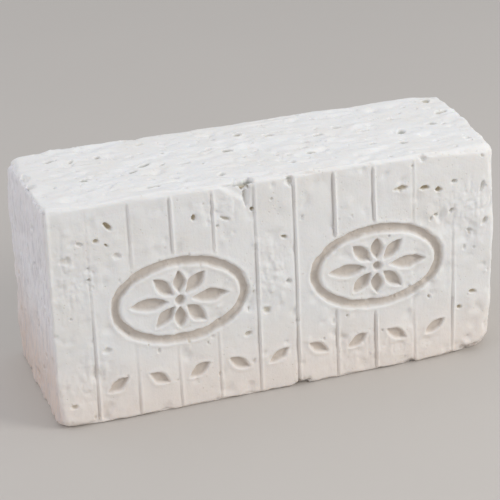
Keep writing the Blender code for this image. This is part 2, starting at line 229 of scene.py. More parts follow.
TOP_PITS = (
    (-69.8, 19.1, 3.0, 3.0, 2.4, 0, 1.0),
    (-54.0, -27.6, 8.0, 2.6, 2.0, 12, 0.85),
    (-51.7, -1.4, 7.0, 2.6, 1.8, 20, 0.85),
    (-33.3, -5.0, 7.0, 2.4, 1.6, 8, 0.85),
    (0.7, 22.3, 5.0, 3.6, 1.8, 35, 0.85),
    (14.3, 16.1, 5.0, 2.8, 2.2, -20, 0.9),
    (37.1, 6.9, 6.0, 2.6, 1.8, 10, 0.85),
    (56.9, -15.8, 4.0, 2.6, 2.0, 25, 1.0),
    (58.5, 2.8, 7.0, 2.2, 1.6, 0, 0.85),
    (91.9, -0.9, 5.0, 3.0, 1.6, -30, 0.85),
    (102.6, 13.1, 8.0, 2.6, 2.0, 18, 0.9),
    (-92.2, 22.4, 7.0, 2.4, 1.4, 5, 0.85),
    (26.5, -14.0, 5.0, 2.4, 1.6, 15, 0.85),
    (71.2, -19.1, 5.0, 2.4, 1.6, 0, 0.85),
)

# How every pit is cut: its raggedness, how full its hollow is, and the lip round it
PIT_RAGGED = 0.3
PIT_FULLNESS = 1.3
PIT_ROUNDNESS = 0.6
PIT_LIP_HEIGHT = 0.12
PIT_LIP_PLACE = 1.35
PIT_LIP_HALF_WIDTH = 0.3
PIT_MARGIN = 1.5

# Smaller pits spread by a seeded rule: how many on each face, then their ranges
SPREAD_PITS = {"top": 28, "back": 28, "left": 10, "right": 10, "front": 12}
SPREAD_SEED = 11
SPREAD_EDGE = 9.0
SPREAD_GAP = 2.0
SPREAD_TRIES = 4000
SPREAD_LENGTH = (2.2, 5.0)
SPREAD_WIDTH_SHARE = (0.45, 0.9)
SPREAD_DEPTH = (0.9, 1.7)
SPREAD_TURN = 25
# Painted shade deep in the spread pits, taken in turn
SPREAD_SHADES = (0.3, 0.55, 0.8)

# Pinholes finer than those: how many on each face, their most stretch and its turn (degrees)
PINHOLES = {
    "top": (110, 2.4, 0.0),
    "back": (120, 1.5, 0.0),
    "left": (70, 4.5, 90.0),
    "right": (60, 2.5, 90.0),
    "front": (70, 2.0, 90.0),
    "foot": (80, 1.3, 0.0),
}
PINHOLE_SEED = 29
PINHOLE_WIDTH = (0.7, 1.7)
PINHOLE_DEPTH_SHARE = (0.3, 0.6)
PINHOLE_TURN = 18
# The most painted shade deep in a pinhole
PINHOLE_SHADE = 0.6

# Soft dents and swellings: how many on each face, their most stretch, its turn, and the deepest
DENTS = {
    "top": (220, 3.2, 0.0, 0.95),
    "back": (160, 1.8, 0.0, 0.8),
    "left": (70, 4.0, 90.0, 0.7),
    "right": (70, 2.0, 90.0, 0.8),
    "front": (230, 1.8, 60.0, 1.0),
}
DENT_SEED = 37
DENT_WIDTH = (1.4, 4.2)
DENT_DEPTH_SHARE = (0.3, 1.0)
DENT_TURN = 20
DENT_FALL = 2.5
DENT_RAGGED = 0.5
DENT_BEND = ((1.0, 3.5, 93),)
SWELLING_EVERY = 3
SWELLING_SHARE = -0.7

# Crumpled patches of the front: place, half sizes and depth, then the folds in them
CRUMPLED = (
    (-98.0, 76.0, 12.0, 20.0, 0.9),
    (-2.0, 62.0, 8.0, 20.0, 0.8),
    (95.0, 80.0, 16.0, 14.0, 0.7),
    (-92.0, 22.0, 14.0, 14.0, 0.7),
    (-25.0, 99.0, 14.0, 8.0, 0.7),
    (50.0, 12.0, 30.0, 8.0, 0.6),
)
LONG_FOLDS = ((1.0, (2.6, EVEN, 5.0), 94),)
FINE_FOLDS = ((1.0, 1.9, 95),)
FINE_FOLD_SHARE = 0.6
FOLD_LEVEL = 0.45

# Raised rims along the top front edge and the left front edge, and the groove behind the second
RIM_HEIGHT = 0.5
RIM_INSET = 1.7
RIM_HALF_WIDTH = 0.9
RIM_BASE = 0.75
RIM_WEAR = ((0.5, 9.0, 96),)
GROOVE_DEPTH = 0.75
GROOVE_INSET = 1.6
GROOVE_HALF_WIDTH = 1.5
GROOVE_RISE = (58.0, 84.0)
# Painted shade in the groove
GROOVE_SHADE = 0.3

# Chips broken from the edges, as place on the box, half sizes on X, Y, Z, and painted shade
EDGE_CHIPS = (
    ((-14.5, FRONT + 1.0, HEIGHT - 0.5), (4.8, 3.0, 3.4), 0.9),
    ((-13.7, FRONT, 102.0), (1.0, 1.8, 3.8), 0.6),
    ((7.6, FRONT, 107.3), (2.2, 2.0, 2.6), 0.7),
    ((73.4, FRONT + 0.5, 108.6), (1.9, 1.6, 2.4), 0.5),
    ((11.3, FRONT, 0.0), (4.4, 3.0, 2.8), 0.35),
    ((67.5, FRONT, 0.0), (3.2, 2.2, 1.6), 0.35),
    ((99.5, FRONT + 1.0, 0.5), (5.4, 3.4, 2.8), 0.35),
    ((-107.7, 6.3, HEIGHT), (2.4, 3.6, 2.2), 0.35),
    ((-107.9, -7.1, HEIGHT - 1.0), (2.2, 3.0, 2.6), 0.35),
)
CHIP_RAGGED = 0.28
# Depths of a chip between which its painted shade grows
CHIP_SHADE_DEPTHS = (0.6, 3.0)

# A slanting facet pared from the front's top: where it starts, its turn, length and depth,
# then how far beside its line the slope sinks and fades again
FACET_START = (-27.5, 109.5)
FACET_TURN = math.radians(-37.5)
FACET_LENGTH = 17.0
FACET_DEPTH = 1.3
FACET_SLOPE = (-0.5, 2.5)
FACET_FADE = (3.5, 9.0)

# The skin's lattice and what it is thinned to
LATTICE = 0.5
MOST_TRIANGLES = 196000

# Heights between which the painted warm light reflected on the foot and low on the left end fade,
# how far the second wavers, and the heights between which a pit's painted shade turns to the top's
FOOT_BOUNCE_FADE = (2.0, 44.0)
END_BOUNCE_FADE = (12.0, 70.0)
END_BOUNCE_WAVER = 12.0
TOP_PITS_FROM = (107.0, 108.4)

# The most that each tone covers of the one before it: a warm mottle, then painted cool light
# on the left end, and painted shade in its streaks, the pressed hollows, the pores and the pits
WARM_SHARE = 0.6
END_LIGHT_SHARE = 0.8
STREAK_SHADE_SHARE = 0.6
PRESS_SHADE_SHARE = 0.65
PORE_SHADE_SHARE = 0.22
CAVITY_SHADE_SHARE = 0.9

# How much each pattern raises or sinks the bump
GRAIN_BUMP = 0.3
CURD_BUMP = 0.35
UP_STREAK_BUMP = 0.12
END_STREAK_BUMP = -2.4
LONG_STREAK_BUMP = 0.2
PORE_BUMP = -0.5

# The soft lights: place and size in metres, and colour
LIGHTS = {
    "key": ((0.78, -0.56, 0.58), 0.42, (1.0, 0.985, 0.96)),
    "top": ((-0.45, 0.25, 1.15), 1.0, (0.97, 0.985, 1.0)),
    "fill": ((-1.0, -0.25, 0.75), 0.6, (0.97, 0.92, 1.0)),
}
SKY_COLOUR = (0.96, 0.97, 1.0, 1.0)

# The camera, from the block's edges in the photograph of 500 x 500 pixels
CAMERA_PLACE = Vector((-0.2175, -0.9008, 0.4990))
CAMERA_HEADING = math.radians(-13.51)
CAMERA_PITCH = math.radians(64.5)
CAMERA_ROLL = math.radians(-3.39)
PICTURE = 500
FOCAL_PIXELS = 2100
SENSOR = 36.0

# Each face: its axis, its side on that axis, then the axes across it and up it
FACES = {
    "front": (1, 0, 0, 2),
    "back": (1, 1, 0, 2),
    "top": (2, 1, 0, 1),
    "foot": (2, 0, 0, 1),
    "left": (0, 0, 1, 2),
    "right": (0, 1, 1, 2),
}


def ease(value, low, high):
    """Rise from 0 at low to 1 at high along 3t^2 - 2t^3."""
    t = np.clip((value - low) / (high - low), 0, 1)
    return t * t * (3 - 2 * t)


def rounding(points):
    """Radius of the edges near each point: the common radius, and more towards a worn corner."""
    radius = np.full(len(points), EDGE_RADIUS)
    for corner, extra, reach in WORN_CORNERS:
        place = MIDDLE + (2 * np.array(corner) - 1) * HALF
        gap = ((points - place) ** 2).sum(axis=1)
        radius = radius + extra * np.exp(-gap / (2 * reach ** 2))
    return radius[:, None]


def form(points):
    """Bend points of the true box's surface into the block, and give their outward directions.

    Each point is pulled onto a box with rounded edges, moved by the corners'
    shifts in proportion to its distance from them, and raised or sunk a little
    along its outward direction by two slow waves that fade out at the foot.
    """
    radius = rounding(points)
    local = points - MIDDLE
    core = np.clip(local, -(HALF - radius), HALF - radius)
    outward = local - core
    outward = outward / np.linalg.norm(outward, axis=1, keepdims=True)
    rounded = core + outward * radius
    share = (rounded + HALF) / (2 * HALF)
    shift = np.zeros_like(rounded)
    for corner, move in CORNER_SHIFTS.items():
        near = np.where(np.array(corner) == 1, share, 1 - share).prod(axis=1)
        shift += near[:, None] * np.array(move)
    wave = np.zeros(len(points))
    for height, along_x, along_y, along_z in UNEVENNESS:
        turns = share @ np.array((along_x, along_y, along_z)) * math.tau
        wave += height * np.sin(turns) * np.cos(SECOND_WAVE * turns + 1.0)
    wave *= ease(rounded[:, 2] + HALF[2], 0, FLAT_FOOT)
    return rounded + shift + outward * wave[:, None] + MIDDLE, outward


def cloud(points, cell, seed):
    """Smooth noise from -1 to 1.

    Seeded random values stand on a lattice of this cell size and are blended
    between by an eased share on each axis. With one cell size the lattice is
    turned by a seeded rotation, so that it doesn't line up with the block.
    """
    draw = np.random.default_rng(seed)
    values = draw.uniform(-1, 1, (CLOUD_SIDE,) * 3)
    if np.ndim(cell) == 0:
        turned, _ = np.linalg.qr(draw.normal(size=(3, 3)))
        points = points @ turned
    at = points / np.asarray(cell)
    low = np.floor(at).astype(int)
    share = at - low
    share = share ** 3 * (share * (share * 6 - 15) + 10)
    total = np.zeros(len(points))
    for corner in itertools.product((0, 1), repeat=3):
        weight = np.where(np.array(corner) == 1, share, 1 - share).prod(axis=1)
        spot = (low + corner) % CLOUD_SIDE
        total += weight * values[spot[:, 0], spot[:, 1], spot[:, 2]]
    return total


def layers(points, sheets):
    """The sum of several clouds, each given as its height, its cell size and its seed."""
    return sum(height * cloud(points, cell, seed) for height, cell, seed in sheets)


class Skin:
    """The block's surface while it is shaped, with one value for each point in every array."""

    def __init__(self):
        """Lay the box's six lattices so that they share their border points."""
        self.rows = [np.linspace(-half, half, round(2 * half / LATTICE) + 1) for half in HALF]
        self.rows[2] = self.rows[2] + MIDDLE[2]
        shape = tuple(len(axis_rows) for axis_rows in self.rows)
        shell = np.zeros(shape, dtype=bool)
        for axis in range(3):
            np.moveaxis(shell, axis, 0)[[0, -1]] = True
        self.number = np.full(shape, -1, dtype=np.int64)
        self.number[shell] = np.arange(np.count_nonzero(shell))
        index = np.argwhere(shell)
        self.box = np.stack([self.rows[axis][index[:, axis]] for axis in range(3)], axis=1)
        self.surface, self.outward = form(self.box)
        self.relief = np.zeros(len(self.box))
        self.stain = np.zeros(len(self.box))
        self.pressed = np.zeros(len(self.box))

    def quads(self):
        """The cells of all six lattices as corner numbers, their faces pointing out."""
        cells = []
        for axis, side, _, _ in FACES.values():
            sheet = np.take(self.number, -side, axis=axis)
            around = (sheet[:-1, :-1], sheet[1:, :-1], sheet[1:, 1:], sheet[:-1, 1:])
            quad = np.stack(around, axis=-1).reshape(-1, 4)
            if (side == 0) != (axis == 1):
                quad = quad[:, ::-1]
            cells.append(quad)
        return np.concatenate(cells)

    def facing(self, face):
        """How far each point belongs to a face: 1 on it, falling to 0 round its edges."""
        axis, side, _, _ = FACES[face]
        return ease(self.outward[:, axis] * (2 * side - 1), *FACING)

    def window(self, face, across, up, reach):
        """Numbers of a face's points within reach of a place, with their offsets from it."""
        axis, side, first, second = FACES[face]
        sheet = np.take(self.number, -side, axis=axis)
        spans = []
        for centre, other in ((across, first), (up, second)):
            low, high = np.searchsorted(self.rows[other], (centre - reach, centre + reach))
            spans.append(slice(low, high))
        numbers = sheet[spans[0], spans[1]]
        offset_across = self.rows[first][spans[0]][:, None] - across
        offset_up = self.rows[second][spans[1]][None, :] - up
        ones = np.ones(numbers.shape)
        return numbers.ravel(), (offset_across * ones).ravel(), (offset_up * ones).ravel()


def mould_lines(skin, front, rib_height, crease_depth):
    """Relief of the lines between the staves and of the staves' own levels.

    Across a line, a rib is a bell curve and the crease on its left another,
    turned inwards. Both follow a slightly wandering line, swell and thin along
    it, and end at an ornament. A stave has its own level and a low crown.
    """
    box = skin.box[front]
    x = box[:, 0]
    z = box[:, 2]
    place = (x + layers(box, LINE_DRIFT) + WIDTH / 2) / STAVE
    number = np.clip(np.rint(place), 1, STAVES - 1).astype(int)
    at_foot, at_top = np.array(LINE_SHIFTS)[number - 1].T
    across = (place - number) * STAVE - at_foot - (at_top - at_foot) * z / HEIGHT
    by_height = np.array([np.interp(z, LINE_HEIGHTS, line) for line in LINE_STRENGTH])
    strength = by_height[number - 1, np.arange(len(z))] * (LINE_BASE + layers(box, LINE_SWELL))
    strength *= ease(z, LINE_LOW, LINE_LOW + LINE_END) * ease(-z, -LINE_HIGH, -LINE_HIGH + LINE_END)
    for centre in ORNAMENT_CENTRES:
        reach_x = RING_HALF[0] + RING_BAND / 2 + ORNAMENT_MARGIN
        reach_z = RING_HALF[1] + RING_BAND / 2 + ORNAMENT_MARGIN
        apart = np.hypot((x - centre) / reach_x, (z - ORNAMENT_HEIGHT) / reach_z)
        strength *= ease(apart, 0.94, 1.06)
    rib = rib_height * np.exp(-((across + RIB_SIDE) / RIB_HALF_WIDTH) ** 2)
    crease = crease_depth * np.exp(-((across + CREASE_SIDE) / CREASE_HALF_WIDTH) ** 2)
    stave = np.clip(np.floor(place), 0, STAVES - 1)
    centre = np.abs(place - stave - 0.5) * 2
    crown = STAVE_CROWN * (1 - centre ** 2) * ease(1 - centre, 0.0, 0.2)
    levels = np.random.default_rng(SPREAD_SEED).uniform(-STAVE_LEVEL, STAVE_LEVEL, STAVES)
    level = levels[stave.astype(int)] * ease(1 - centre, 0.0, 0.25)
    skin.relief[front] += strength * (rib - crease) + crown + level
    # Painted shade in the crease, carried with the pressed hollows' painted shade
    painted_tone = CREASE_SHADE * strength * crease / max(crease_depth, TINY)
    skin.pressed[front] = np.maximum(skin.pressed[front], painted_tone)


def leaf_inside(x, z, centre, length, half_width, turn):
    """Depth inside a pointed leaf's edge: its half width there, a sine, less the side offset."""
    along = (x - centre[0]) * math.cos(turn) + (z - centre[1]) * math.sin(turn)
    across = (z - centre[1]) * math.cos(turn) - (x - centre[0]) * math.sin(turn)
    share = np.clip(along / length + 0.5, 0, 1)
    past_tip = np.maximum(np.abs(along) - length / 2, 0)
    return half_width * np.sin(math.pi * share) - np.abs(across) - past_tip


def ornament_inside(x, z, centre):
    """Depth inside the nearest edge of one ornament: its oval ring, its petals or its hub."""
    over_x = (x - centre) / RING_HALF[0]
    over_z = (z - ORNAMENT_HEIGHT) / RING_HALF[1]
    size = np.hypot(over_x, over_z)
    slope = np.hypot(over_x / RING_HALF[0], over_z / RING_HALF[1]) / np.maximum(size, TINY)
    from_oval = (size - 1) / np.maximum(slope, TINY)
    inside = RING_BAND / 2 - np.abs(from_oval)
    inner = (RING_HALF[0] - RING_BAND / 2, RING_HALF[1] - RING_BAND / 2)
    for petal in range(PETALS):
        turn = math.tau * petal / PETALS
        reach = inner[0] * inner[1] / math.hypot(inner[1] * math.cos(turn), inner[0] * math.sin(turn))
        middle = reach * (PETAL_START + PETAL_END) / 2
        spot = (centre + middle * math.cos(turn), ORNAMENT_HEIGHT + middle * math.sin(turn))
        length = reach * (PETAL_END - PETAL_START)
        inside = np.maximum(inside, leaf_inside(x, z, spot, length, PETAL_HALF_WIDTH, turn))
    hub = HUB_RADIUS - np.hypot(x - centre, z - ORNAMENT_HEIGHT)
    return np.maximum(inside, hub)


def press(skin, front, inside, depth):
    """Sink a pressed shape: an eased wall down to a rough floor, and a low lip outside its edge."""
    box = skin.box[front]
    for height, cell, seed in PRESSED_EDGE:
        inside = inside + height * cloud(box, cell, seed)
    sunk = ease(inside, -PRESSED_WALL * 0.35, PRESSED_WALL * 0.65)
    lip = LIP_HEIGHT * np.exp(-((inside + LIP_PLACE) / LIP_HALF_WIDTH) ** 2)
    skin.relief[front] += lip - sunk * (depth + layers(box, PRESSED_FLOOR))
    # Painted shade over the pressed shape's wall and floor
    skin.pressed[front] = np.maximum(skin.pressed[front], sunk)


def pressed_pattern(skin, front, ring_depth):
    """The two ornaments, and a leaf on each stave but the outer two, turned left and right in turn."""
    x = skin.box[front, 0]
    z = skin.box[front, 2]
    ornaments = np.maximum.reduce([ornament_inside(x, z, centre) for centre in ORNAMENT_CENTRES])
    press(skin, front, ornaments, ring_depth)
    row = np.full(len(x), -LEAF_LENGTH)
    for number in range(1, STAVES - 1):
        spot = (-WIDTH / 2 + (number + 0.5) * STAVE, LEAF_HEIGHT)
        turn = LEAF_TURN if number % 2 else math.pi - LEAF_TURN
        row = np.maximum(row, leaf_inside(x, z, spot, LEAF_LENGTH, LEAF_HALF_WIDTH, turn))
    press(skin, front, row, ring_depth * LEAF_SHARE)


def clear_of_pattern(x, z, length):
    """Whether a pit on the front misses the ornaments, the leaves and the mould lines."""
    for centre in ORNAMENT_CENTRES:
        reach_x = RING_HALF[0] + RING_BAND + length
        reach_z = RING_HALF[1] + RING_BAND + length
        if ((x - centre) / reach_x) ** 2 + ((z - ORNAMENT_HEIGHT) / reach_z) ** 2 < 1:
            return False
    if z < LEAF_HEIGHT + LEAF_LENGTH:
        return False
    from_line = (x + WIDTH / 2) % STAVE
    return length < from_line < STAVE - length


def spread_pits():
    """Pits at seeded places on every face but the foot, none touching another or an ornament."""
    draw = random.Random(SPREAD_SEED)
    spans = {"front": HALF[0], "back": HALF[0], "top": HALF[0], "left": HALF[1], "right": HALF[1]}
    pits = {face: [] for face in SPREAD_PITS}
    pits["front"] += FRONT_PITS
    pits["top"] += TOP_PITS
    for face, count in SPREAD_PITS.items():
        wanted = len(pits[face]) + count
        for _ in range(SPREAD_TRIES):
            if len(pits[face]) == wanted:
                break
            across = draw.uniform(-1, 1) * (spans[face] - SPREAD_EDGE)
            if face == "top":
                up = draw.uniform(-1, 1) * (HALF[1] - SPREAD_EDGE)
            else:
                up = draw.uniform(SPREAD_EDGE, HEIGHT - SPREAD_EDGE)
            length = draw.uniform(*SPREAD_LENGTH)
            width = length * draw.uniform(*SPREAD_WIDTH_SHARE)
            depth = draw.uniform(*SPREAD_DEPTH)
            turn = draw.gauss(0, SPREAD_TURN)
            if face == "front" and not clear_of_pattern(across, up, length):
                continue
            apart = [(math.hypot(across - pit[0], up - pit[1]), pit[2]) for pit in pits[face]]
            if all(gap - (length + other) / 2 > SPREAD_GAP for gap, other in apart):
                # Painted shade deep in this pit
                stain = SPREAD_SHADES[len(pits[face]) % len(SPREAD_SHADES)]
                pits[face].append((across, up, length, width, depth, turn, stain))
    return pits


def pinholes():
    """Fine holes at seeded places on every face, as pits that are longer one way than the other."""
    draw = random.Random(PINHOLE_SEED)
    holes = {}
    for face, (count, stretch, turn) in PINHOLES.items():
        _, _, first, second = FACES[face]
        holes[face] = []
        for _ in range(count):
            across = MIDDLE[first] + draw.uniform(-1, 1) * (HALF[first] - EDGE_RADIUS)
            up = MIDDLE[second] + draw.uniform(-1, 1) * (HALF[second] - EDGE_RADIUS)
            width = draw.uniform(*PINHOLE_WIDTH)
            length = width * draw.uniform(1.0, stretch)
            depth = width * draw.uniform(*PINHOLE_DEPTH_SHARE)
            leaning = turn + draw.gauss(0, PINHOLE_TURN)
            # Painted shade deep in this pinhole
            stain = draw.uniform(0, PINHOLE_SHADE)
            holes[face].append((across, up, length, width, depth, leaning, stain))
    return holes


def sink_pits(skin, all_pits, ragged, depth_share):
    """Sink each pit: steep walls to a rounded floor inside a ragged oval with a faint lip."""
    for face, pits in all_pits.items():
        facing = skin.facing(face)
        for across, up, length, width, depth, turn, stain in pits:
            numbers, right, rise = skin.window(face, across, up, length + PIT_MARGIN)
            angle = math.radians(turn)
            along = (right * math.cos(angle) + rise * math.sin(angle)) / (length / 2)
            beside = (rise * math.cos(angle) - right * math.sin(angle)) / (width / 2)
            reach = np.hypot(along, beside) * (1 + PIT_RAGGED * ragged[numbers])
            hollow = np.clip(PIT_FULLNESS * (1 - reach ** 2), 0, 1) ** PIT_ROUNDNESS * facing[numbers]
            from_lip = (reach - PIT_LIP_PLACE) / PIT_LIP_HALF_WIDTH
            lip = PIT_LIP_HEIGHT * np.exp(-from_lip ** 2) * facing[numbers]
            skin.relief[numbers] += lip - hollow * depth * depth_share
            # Painted shade deep in the pit, strongest where it is deepest
            skin.stain[numbers] = np.maximum(skin.stain[numbers], stain * hollow)


def soft_dents(skin):
    """Bell-shaped dents at seeded places of every face, one in three of them a swelling instead."""
    draw = random.Random(DENT_SEED)
    bend = layers(skin.box, DENT_BEND)
    for face, (count, stretch, turn, deepest) in DENTS.items():
        facing = skin.facing(face)
        _, _, first, second = FACES[face]
        for number in range(count):
            across = MIDDLE[first] + draw.uniform(-1, 1) * HALF[first]
            up = MIDDLE[second] + draw.uniform(-1, 1) * HALF[second]
            width = draw.uniform(*DENT_WIDTH)
            length = width * draw.uniform(1.0, stretch)
            share = SWELLING_SHARE if number % SWELLING_EVERY == 0 else 1.0
            depth = draw.uniform(*DENT_DEPTH_SHARE) * deepest * share
            numbers, right, rise = skin.window(face, across, up, 2 * length)
            angle = math.radians(turn + draw.gauss(0, DENT_TURN))
            along = (right * math.cos(angle) + rise * math.sin(angle)) / length
            beside = (rise * math.cos(angle) - right * math.sin(angle)) / width
            reach = (along ** 2 + beside ** 2) * (1 + DENT_RAGGED * bend[numbers]) ** 2
            skin.relief[numbers] -= depth * np.exp(-DENT_FALL * reach) * facing[numbers]


def crumple(skin, front):
    """Rough, folded patches of the front: two clouds of folds, strongest in each patch's middle."""
    box = skin.box[front]
    fine = FINE_FOLD_SHARE * np.abs(layers(box, FINE_FOLDS))
    folds = np.abs(layers(box, LONG_FOLDS)) + fine - FOLD_LEVEL
    for x, z, half_x, half_z, depth in CRUMPLED:
        share = np.exp(-((box[:, 0] - x) / half_x) ** 2 - ((box[:, 2] - z) / half_z) ** 2)
        skin.relief[front] += depth * share * folds


def raise_rims(skin):
    """Low uneven rims and a groove.

    One rim follows the top's front edge. The other follows the front's left
    edge, taller further up, where a groove with painted shade runs beside it on the left end.
    """
    box = skin.box
    worn = RIM_BASE + layers(box, RIM_WEAR)
    edge_on_top = np.exp(-((box[:, 1] - FRONT - RIM_INSET) / RIM_HALF_WIDTH) ** 2)
    right_half = ease(box[:, 0], -5.0, 25.0) + 0.55 * ease(-box[:, 0], 25.0, 45.0)
    skin.relief += RIM_HEIGHT * worn * skin.facing("top") * edge_on_top * right_half
    from_left = box[:, 0] + WIDTH / 2
    ridge = np.exp(-((from_left - RIM_INSET) / RIM_HALF_WIDTH) ** 2)
    taller = ease(box[:, 2], 35.0, 60.0) + 0.7 * ease(box[:, 2], 62.0, 82.0)
    skin.relief += RIM_HEIGHT * worn * skin.facing("front") * ridge * taller
    from_groove = (box[:, 1] - FRONT - GROOVE_INSET) / GROOVE_HALF_WIDTH
    groove = np.exp(-from_groove ** 2) * ease(box[:, 2], *GROOVE_RISE)
    skin.relief -= GROOVE_DEPTH * skin.facing("left") * groove
    # Painted shade in the groove, uneven with the rim's wear
    skin.stain = np.maximum(skin.stain, GROOVE_SHADE * worn * skin.facing("left") * groove)


def break_edges(skin, ragged):
    """Push the points inside each chip's rough spheroid straight in, as far as its wall."""
    for spot, half_sizes, stain in EDGE_CHIPS:
        centre, _ = form(np.array([spot]))
        size = np.array(half_sizes) * (1 + CHIP_RAGGED * ragged[:, None])
        local = (skin.surface - centre) / size
        inward = -skin.outward / size
        near = (local ** 2).sum(axis=1) < 1
        ahead = (inward ** 2).sum(axis=1)
        towards = (local * inward).sum(axis=1)
        inside = 1 - (local ** 2).sum(axis=1)
        depth = (-towards + np.sqrt(np.maximum(towards ** 2 + ahead * inside, 0))) / ahead
        skin.relief -= np.where(near, depth, 0)
        # Painted shade in the chip, growing with its depth
        painted_tone = stain * ease(depth, *CHIP_SHADE_DEPTHS)
        skin.stain = np.maximum(skin.stain, np.where(near, painted_tone, 0))


def pare_facet(skin, front):
    """Sink the front beside a slanting line: a smooth slope from it that fades out further up."""
    right = skin.box[front, 0] - FACET_START[0]
    rise = skin.box[front, 2] - FACET_START[1]
    along = right * math.cos(FACET_TURN) + rise * math.sin(FACET_TURN)
    across = rise * math.cos(FACET_TURN) - right * math.sin(FACET_TURN)
    slope = ease(across, *FACET_SLOPE) * (1 - ease(across, *FACET_FADE))
    reach = ease(along, -2.0, 3.0) * (1 - ease(along, FACET_LENGTH - 3.0, FACET_LENGTH + 1.0))
    skin.relief[front] -= FACET_DEPTH * slope * reach


def face_textures(skin):
    """The faces' own grain: swellings, tears along the top, streaks up the sides, crumbled edges."""
    box = skin.box
    skin.relief += layers(box, FACE_SWELLINGS)
    patch = ease(layers(box, TOP_PATCHES), -0.35, 0.45)
    tear = TEAR_DEPTH * np.exp(-(layers(box, TOP_TEARS) / TEAR_HALF_WIDTH) ** 2)
    skin.relief += skin.facing("top") * (layers(box, TOP_GRAIN) * (0.5 + 0.5 * patch) - tear * patch)
    streaks = layers(box, END_STREAKS)
    for face, share in END_STREAK_SHARES.items():
        skin.relief += share * skin.facing(face) * streaks
    streaks = layers(box, FACE_STREAKS)
    for face in ("front", "back"):
        skin.relief += skin.facing(face) * streaks
    edge = ease(1 - np.abs(skin.outward).max(axis=1), 0.02, 0.2)
    crumble = np.maximum(layers(box, EDGE_CRUMBLE) + 0.1, 0) * EDGE_CRUMBLE_DEPTH
    skin.relief -= edge * (crumble + layers(box, EDGE_GRAIN))


def cheese_skin(relief):
    """The whole surface, feature by feature, as a skin with its relief worked out."""
    skin = Skin()
    face_textures(skin)
    front_share = skin.facing("front")
    front = np.flatnonzero(front_share > 0)
    before = skin.relief[front].copy()
    crumple(skin, front)
    pare_facet(skin, front)
    mould_lines(skin, front, relief.rib_height / MM, relief.crease_depth / MM)
    pressed_pattern(skin, front, relief.pressed_depth / MM)
    skin.relief[front] = before + (skin.relief[front] - before) * front_share[front]
    skin.pressed[front] *= front_share[front]
    soft_dents(skin)
    raise_rims(skin)
    ragged = layers(skin.box, RAGGED)
    sink_pits(skin, spread_pits(), ragged, relief.pit_depth)
    sink_pits(skin, pinholes(), ragged, relief.pit_depth)
    break_edges(skin, ragged)
    # Nothing is raised on the flat foot
    off_foot = ease(skin.outward[:, 2], -1.0, -0.96)
    skin.relief = np.where(skin.relief > 0, skin.relief * off_foot, skin.relief)
    return skin


def mesh_from_skin(name, skin):
    """A closed mesh of the skin at the solid's place, its painted shades and left end as attributes.
    """
    points = skin.surface + skin.outward * skin.relief[:, None]
    middle = (points.min(axis=0) + points.max(axis=0)) / 2
    solid_low, solid_high = (np.array(corner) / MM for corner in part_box(BLOCK_NODE))
    points[:, :2] += ((solid_low + solid_high) / 2 - middle)[:2]
    points[:, 2] = np.maximum(points[:, 2], 0)
    quads = skin.quads()
    mesh = bpy.data.meshes.new(name)
    mesh.vertices.add(len(points))
    mesh.vertices.foreach_set("co", (points * MM).astype(np.float32).ravel())
    mesh.loops.add(quads.size)
    mesh.loops.foreach_set("vertex_index", quads.astype(np.int32).ravel())
    mesh.polygons.add(len(quads))
    mesh.polygons.foreach_set("loop_start", np.arange(0, quads.size, 4, dtype=np.int32))
    mesh.update(calc_edges=True)
    labels = (("stain", skin.stain), ("pressed", skin.pressed), ("left_end", skin.facing("left")))
    for label, values in labels:
        attribute = mesh.attributes.new(label, "FLOAT", "POINT")
        attribute.data.foreach_set("value", values.astype(np.float32))
    mesh.validate()
    return mesh


def thin_out(piece, most):
    """Collapse the least telling edges down to this many triangles, and keep the foot on z = 0."""
    quads = len(piece.data.polygons)
    modifier = piece.modifiers.new("thin", "DECIMATE")
    modifier.ratio = min(1.0, most / (2 * quads))
    evaluated = piece.evaluated_get(bpy.context.evaluated_depsgraph_get())
    thinned = bpy.data.meshes.new_from_object(evaluated)
    piece.modifiers.clear()
    points = np.empty(3 * len(thinned.vertices), dtype=np.float32)
    thinned.vertices.foreach_get("co", points)
    points[2::3] = np.maximum(points[2::3], 0)
    thinned.vertices.foreach_set("co", points)
    thick = piece.data
    piece.data = thinned
    bpy.data.meshes.remove(thick)
    thinned.shade_smooth()


class Shade:
    """A socket of a material's node tree that takes part in Python expressions.

    Arithmetic on shades and numbers adds Math nodes, one for each operation.
    """

    def __init__(self, tree, socket):
        self.tree = tree
        self.socket = socket

    def node(self, kind, settings=None, output=0, **inputs):
        """Add a node of a kind, with its settings first and then its sockets' values or links."""
        return add_node(self.tree, kind, settings, output, **inputs)

    def math(self, operation, first, second):
        """A Math node's result."""
        return self.node("ShaderNodeMath", {"operation": operation}, in_0=first, in_1=second)

    def __add__(self, other):
        return self.math("ADD", self, other)

    def __rsub__(self, other):
        return self.math("SUBTRACT", other, self)

    def __mul__(self, other):
        return self.math("MULTIPLY", self, other)

    __radd__ = __add__

    def between(self, low, high):
        """Rise from 0 at low to 1 at high, eased at both ends."""
        settings = {"interpolation_type": "SMOOTHSTEP", "clamp": True}
        inputs = {"in_Value": self, "in_From Min": low, "in_From Max": high}
        return self.node("ShaderNodeMapRange", settings, **inputs)


def add_node(tree, kind, settings=None, output=0, **inputs):
    """One node: settings are its properties, in_NAME or in_NUMBER a socket's value or link."""
    node = tree.nodes.new(kind)
    for name, value in (settings or {}).items():
        setattr(node, name, value)
    for name, value in inputs.items():
        key = name[len("in_"):]
        socket = node.inputs[int(key)] if key.isdigit() else node.inputs[key]
        if isinstance(value, Shade):
            tree.links.new(value.socket, socket)
        else:
            socket.default_value = value
    return Shade(tree, node.outputs[output])


def mix_colours(share, first, second):
    """Blend two colours, each a value or a shade, by a share from 0 to 1."""
    settings = {"data_type": "RGBA", "clamp_factor": True}
    return share.node("ShaderNodeMix", settings, output=2, in_0=share, in_6=first, in_7=second)


